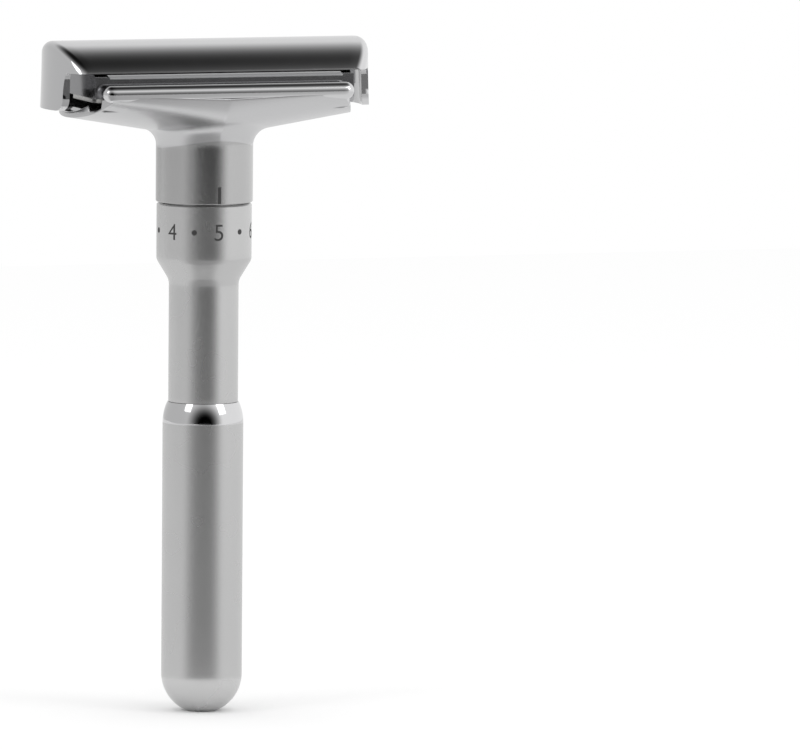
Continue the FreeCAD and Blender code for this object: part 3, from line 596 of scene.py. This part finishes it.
def rod_skin(y):
    """A round bar along X with ball ends, lying on the rim at that distance from the middle."""
    bend = np.radians(np.linspace(0, 90, 10))
    tip = np.stack([ROLL_HALF_LENGTH + ROLL_R * (np.cos(bend) - 1), ROLL_R * np.sin(bend)], axis=-1)
    middle = line((ROLL_HALF_LENGTH - ROLL_R - 0.5, ROLL_R), (0, ROLL_R), 12)
    half = np.concatenate([tip, middle])
    profile = np.concatenate([half, (half * np.array([-1, 1]))[::-1][1:]])
    turn = np.linspace(0, 2 * math.pi, 56, endpoint=False)
    x = np.repeat(profile[:, 0][:, None], len(turn), axis=1)
    r = profile[:, 1][:, None]
    return np.stack([x, y + r * np.cos(turn), ROLL_Z + r * np.sin(turn)], axis=-1) * MM


FINISH_EDGE_Z = 86.9
FINISH_ARCH = 1.3
casting, output = new_material("guard_casting_chrome")
tree = casting.node_tree
place = add(tree, "ShaderNodeTexCoord")
where = add(tree, "ShaderNodeSeparateXYZ", Vector=place.outputs["Object"])
arch = add(tree, "ShaderNodeMath", {"operation": "MULTIPLY"}, i0=where.outputs["Y"], i1=where.outputs["Y"])
limit = add(
    tree, "ShaderNodeMath", {"operation": "MULTIPLY_ADD"}, i0=arch.outputs[0],
    i1=FINISH_ARCH / COLLAR_R ** 2 / MM, i2=FINISH_EDGE_Z * MM,
)
above = add(tree, "ShaderNodeMath", {"operation": "SUBTRACT"}, i0=where.outputs["Z"], i1=limit.outputs[0])
bright = add(tree, "ShaderNodeMapRange", Value=above.outputs[0], From_Min=-0.05 * MM, From_Max=0.05 * MM)
grain = add(tree, "ShaderNodeTexNoise", Vector=place.outputs["Object"], Scale=8000.0, Detail=3.0)
tone = add(
    tree, "ShaderNodeMix", {"data_type": "RGBA"}, i0=bright.outputs[0],
    i6=linear("B9B9B9"), i7=linear("CCCCCD"),
)
rough = add(tree, "ShaderNodeMapRange", Value=bright.outputs[0], To_Min=0.19, To_Max=0.26)
pits = add(tree, "ShaderNodeMapRange", Value=bright.outputs[0], To_Min=0.12, To_Max=0.0)
bump = add(
    tree, "ShaderNodeBump", Strength=pits.outputs[0], Distance=0.00002, Height=grain.outputs["Fac"]
)
metal = add(
    tree, "ShaderNodeBsdfPrincipled", Base_Color=tone.outputs[2], Metallic=1.0,
    Roughness=rough.outputs[0], Normal=bump.outputs[0],
)
tree.links.new(metal.outputs[0], output.inputs["Surface"])
guard = grid_object("guard_casting", guard_skin(), close_u=True, close_v=True)
guard.data.materials.append(casting)
finish_mesh(guard, 40.0)
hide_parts("guard_head")
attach(guard, "head")

for side_name, y in (("front", -ROLL_Y), ("back", ROLL_Y)):
    rod = grid_object("guard_bar_" + side_name, rod_skin(y), close_v=True, material=polished)
    finish_mesh(rod)
    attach(rod, "head")

INDEX_WIDTH = 0.5
INDEX_HEIGHT = 2.7
across = np.linspace(-INDEX_WIDTH / 2, INDEX_WIDTH / 2, 5)
up = np.array([0.1, INDEX_HEIGHT])
grid_x, grid_z = np.meshgrid(across, up, indexing="ij")
flat = np.stack([grid_x.ravel(), grid_z.ravel()], axis=-1)
index_points = wrapped(flat, COLLAR_R + PAINT_PROUD, 0, COLLAR_LOW).reshape(5, 2, 3)
index_line = grid_object("index_line", index_points, material=engraving)
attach(index_line, "head")


# ---- bed, gear and fasteners -----------------------------------------------------
# The bed is a chromed casting like the head, toned darker than it as painted shade
# for the dark gap between cap and guard. The stem, nut, plate, pins and screws
# inside are turned or stamped, with their edges just broken.
def softened(node, body, material, width):
    """A copy of a piece whose sharp edges are broken by a small round."""
    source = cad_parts[node]
    made = bpy.data.objects.new(node + "_finished", source.data.copy())
    scene.collection.objects.link(made)
    made.data.materials.clear()
    made.data.materials.append(material)
    finish_mesh(made)
    bevel = made.modifiers.new("broken_edges", "BEVEL")
    bevel.width = width * MM
    bevel.segments = 2
    bevel.limit_method = "ANGLE"
    bevel.angle_limit = math.radians(40)
    bevel.use_clamp_overlap = True
    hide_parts(node)
    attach(made, body)
    return made


def turned_metal(name, tone, rough, ring_mm):
    """Turned or stamped metal with fine tool rings ring_mm apart, as faint bands of roughness."""
    material, output = new_material(name)
    tree = material.node_tree
    place = add(tree, "ShaderNodeTexCoord")
    rings = add(
        tree, "ShaderNodeTexWave", {"bands_direction": "Z"}, Vector=place.outputs["Object"],
        Scale=1000 / ring_mm / 6.28, Distortion=1.5, Detail=2.0,
    )
    rough_node = add(
        tree, "ShaderNodeMapRange", Value=rings.outputs["Fac"], To_Min=rough, To_Max=rough + 0.12
    )
    metal = add(
        tree, "ShaderNodeBsdfPrincipled", Base_Color=linear(tone), Metallic=1.0,
        Roughness=rough_node.outputs[0],
    )
    tree.links.new(metal.outputs[0], output.inputs["Surface"])
    return material


turned_steel = turned_metal("turned_steel", "B4B4B2", 0.25, 0.3)
spring_wire = turned_metal("spring_wire", "8E8F92", 0.3, 0.2)
black_oxide = turned_metal("black_oxide_steel", "3A3A3C", 0.4, 0.25)
turned_brass = turned_metal("turned_brass", "C9A35A", 0.25, 0.3)

rubber, output = new_material("moulded_rubber")
tree = rubber.node_tree
place = add(tree, "ShaderNodeTexCoord")
bloom = add(tree, "ShaderNodeTexNoise", Vector=place.outputs["Object"], Scale=900.0, Detail=3.0)
dusty = add(
    tree, "ShaderNodeMix", {"data_type": "RGBA"}, i0=bloom.outputs["Fac"],
    i6=linear("1B1B1B"), i7=linear("2E2E2D"),
)
skin = add(tree, "ShaderNodeBsdfPrincipled", Base_Color=dusty.outputs[2], Roughness=0.7)
tree.links.new(skin.outputs[0], output.inputs["Surface"])

# Darker tone than the head's chrome: painted shade for the gap between cap and guard, where the bed shows.
bed_chrome_painted_shade = bright_chrome("bed_chrome_painted_shade", "8C8C8E", 0.12)
softened("blade_bed", "bed", bed_chrome_painted_shade, 0.12)
softened("retainer_plate", "bed", turned_steel, 0.08)
softened("drive_nut", "handle", turned_brass, 0.08)
CAD_FINISHES = {
    "adjusting_stem": turned_steel,
    "guide_pins": turned_steel,
    "retainer_screws": black_oxide,
    "nut_set_screw": black_oxide,
    "post_clip_left": spring_wire,
    "post_clip_right": spring_wire,
    "adjusting_spring": spring_wire,
    "thrust_washer": spring_wire,
    "retaining_ring": spring_wire,
    "sealing_ring": rubber,
}
for node, material in CAD_FINISHES.items():
    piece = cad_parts[node]
    piece.data.materials.clear()
    piece.data.materials.append(material)


# ---- blade -----------------------------------------------------------------------
# Rolled stainless strip, stamped and then ground along both edges. The grinding
# shows as a duller band a millimetre wide, crossed by fine strokes.
BLADE_EDGE_Y = 10.85
GROUND_BAND = 1.1
blade_steel, output = new_material("ground_blade_steel")
tree = blade_steel.node_tree
place = add(tree, "ShaderNodeTexCoord")
where = add(tree, "ShaderNodeSeparateXYZ", Vector=place.outputs["Object"])
off_axis = add(tree, "ShaderNodeMath", {"operation": "ABSOLUTE"}, i0=where.outputs["Y"])
ground = add(
    tree, "ShaderNodeMapRange", Value=off_axis.outputs[0],
    From_Min=(BLADE_EDGE_Y - GROUND_BAND - 0.05) * MM, From_Max=(BLADE_EDGE_Y - GROUND_BAND) * MM,
)
stretch = add(tree, "ShaderNodeMapping", Vector=place.outputs["Object"], Scale=(9000, 500, 500))
strokes = add(tree, "ShaderNodeTexNoise", Vector=stretch.outputs[0], Scale=1.0, Detail=3.0)
tone = add(
    tree, "ShaderNodeMix", {"data_type": "RGBA"}, i0=ground.outputs[0],
    i6=linear("D8D8D8"), i7=linear("BEBFC1"),
)
rolled = add(tree, "ShaderNodeMapRange", Value=strokes.outputs["Fac"], To_Min=0.12, To_Max=0.22)
rougher = add(tree, "ShaderNodeMath", {"operation": "MULTIPLY_ADD"}, i0=ground.outputs[0], i1=0.15)
tree.links.new(rolled.outputs[0], rougher.inputs[2])
steel = add(
    tree, "ShaderNodeBsdfPrincipled", Base_Color=tone.outputs[2], Metallic=1.0, Roughness=rougher.outputs[0]
)
tree.links.new(steel.outputs[0], output.inputs["Surface"])
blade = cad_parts["blade"]
blade.data.materials.clear()
blade.data.materials.append(blade_steel)


# ---- cap -------------------------------------------------------------------------
# A zinc cap, cast, polished and chromed: an arched back with upright bowed ends
# and a lug that hangs from each end outside the hull. The front and back edges
# have a narrow upright lip.
CAP_TOP_Z = 103.49
CAP_ARC_R = 11.6
CAP_HALF_WIDTH = 9.0
CAP_END_X = 25.78
CAP_END_ARC_R = 15.4
CAP_END_ROUND = 1.25
CAP_WALL = 1.1
LIP_LOW_Z = 98.96
LUG_HALF_WIDTH = 5.5
LUG_LOW_Z = 93.12
LUG_ROUND = 1.6
FLARE = 0.3
CORNER_FROM = 4.0
NOTCH_FROM = 5.3
LIP_FROM = 7.4
LIP_FOOT_Y = 5.95
cap_axis_z = CAP_TOP_Z - CAP_ARC_R


def cap_back_z(y):
    """Height of the arched back over a distance from the middle."""
    return cap_axis_z + np.sqrt(CAP_ARC_R ** 2 - y ** 2)


def cap_end_x(y):
    """Where the bowed end stands over a distance from the middle, before the lug's flare."""
    return CAP_END_X - FLARE - CAP_END_ARC_R + np.sqrt(CAP_END_ARC_R ** 2 - y ** 2)


def cap_skin(inset):
    """Columns across the cap, each a path from one end's lower edge up its wall, over the rounded
    corner, along the back and down the other end; the outer columns are the lips. The inset sets
    the same skin that far inside, for the wall's inner face."""
    across = 0.5 * np.sin(np.linspace(-1, 1, 97) * math.pi / 2) + 0.5 * np.linspace(-1, 1, 97)
    side = np.sign(across)
    a = np.abs(across) * CAP_HALF_WIDTH
    width = CAP_HALF_WIDTH - inset
    off = np.abs(across) * width
    lip = a > LIP_FROM
    edge = (a > NOTCH_FROM) & ~lip
    corner = (a > CORNER_FROM) & ~lip & ~edge
    climb = (a - NOTCH_FROM) / (LIP_FROM - NOTCH_FROM)
    bend = (a - CORNER_FROM) / (NOTCH_FROM - CORNER_FROM) * math.pi / 2
    notch_round = LIP_FOOT_Y - LUG_HALF_WIDTH
    notch_y = LUG_HALF_WIDTH + notch_round * np.clip((climb - 0.85) / 0.15, 0, 1) ** 2
    foot_y = a * (LUG_HALF_WIDTH - LUG_ROUND) / CORNER_FROM
    foot_y = np.where(corner, LUG_HALF_WIDTH - LUG_ROUND + LUG_ROUND * np.sin(bend), foot_y)
    foot_y = np.where(edge, notch_y, foot_y)
    lip_y = LIP_FOOT_Y + (a - LIP_FROM) * (width - LIP_FOOT_Y) / (CAP_HALF_WIDTH - LIP_FROM)
    foot_y = np.where(lip, lip_y, foot_y)
    foot_z = np.where(corner, LUG_LOW_Z + LUG_ROUND * (1 - np.cos(bend)), LUG_LOW_Z)
    foot_z = np.where(edge, LUG_LOW_Z + LUG_ROUND + (LIP_LOW_Z - LUG_LOW_Z - LUG_ROUND) * climb, foot_z)
    foot_z = np.where(lip, LIP_LOW_Z, foot_z)
    top = np.maximum(cap_axis_z + np.sqrt((CAP_ARC_R - inset) ** 2 - off ** 2), LIP_LOW_Z)
    corner_round = CAP_END_ROUND - inset
    drop = np.minimum(corner_round, top - LIP_LOW_Z)
    first_turn = np.arcsin(1 - drop / corner_round)
    half = []
    for t in np.linspace(1, 0, 25):
        row_y = off * (1 - t) + foot_y * t
        row_z = (top - drop) * (1 - t) + foot_z * t
        flare = FLARE * np.clip((top - drop - row_z) / (CAP_TOP_Z - LUG_LOW_Z), 0, 1) ** 1.5
        row_x = cap_end_x(row_y) - inset - corner_round * (1 - np.cos(first_turn)) + flare
        half.append(np.stack([row_x, side * row_y, row_z], axis=-1))
    for t in np.linspace(0, 1, 10)[1:]:
        turn = first_turn * (1 - t) + math.pi / 2 * t
        x = cap_end_x(off) - inset - corner_round * (1 - np.cos(turn))
        half.append(np.stack([x, side * off, top - corner_round * (1 - np.sin(turn))], axis=-1))
    end = cap_end_x(off) - inset - corner_round
    for t in np.linspace(0, 1, 16)[1:]:
        half.append(np.stack([end * (1 - t), side * off, top], axis=-1))
    half = np.array(half)
    skin = np.concatenate([half, half[::-1][1:] * np.array([-1, 1, 1])])
    lip_low = skin.copy()
    lip_low[..., 2] = np.minimum(lip_low[..., 2], LIP_LOW_Z)
    return np.concatenate([lip_low[:, :1], skin, lip_low[:, -1:]], axis=1)


def cap_body():
    """The outer and inner skins as one loop per row, the first and last rows folded shut between them."""
    outer = cap_skin(0.0)
    inner = cap_skin(CAP_WALL)
    loops = np.concatenate([outer, inner[:, ::-1]], axis=1)
    shut = [(outer[i] + inner[i]) / 2 for i in (0, -1)]
    first, last = [np.concatenate([edge, edge[::-1]])[None] for edge in shut]
    return np.concatenate([first, loops, last]) * MM


cap = grid_object("cap_cover", cap_body(), close_v=True, material=polished)
finish_mesh(cap, 28.0)
rounding = cap.modifiers.new("broken_edges", "BEVEL")
rounding.width = 0.2 * MM
rounding.segments = 3
rounding.use_clamp_overlap = True
rounding.limit_method = "ANGLE"
rounding.angle_limit = math.radians(35)
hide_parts("cap_shell")
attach(cap, "cap")

softened("cap_rail", "cap", polished, 0.15)
for hand in ("left", "right"):
    softened("cap_post_" + hand, "cap", polished, 0.1)
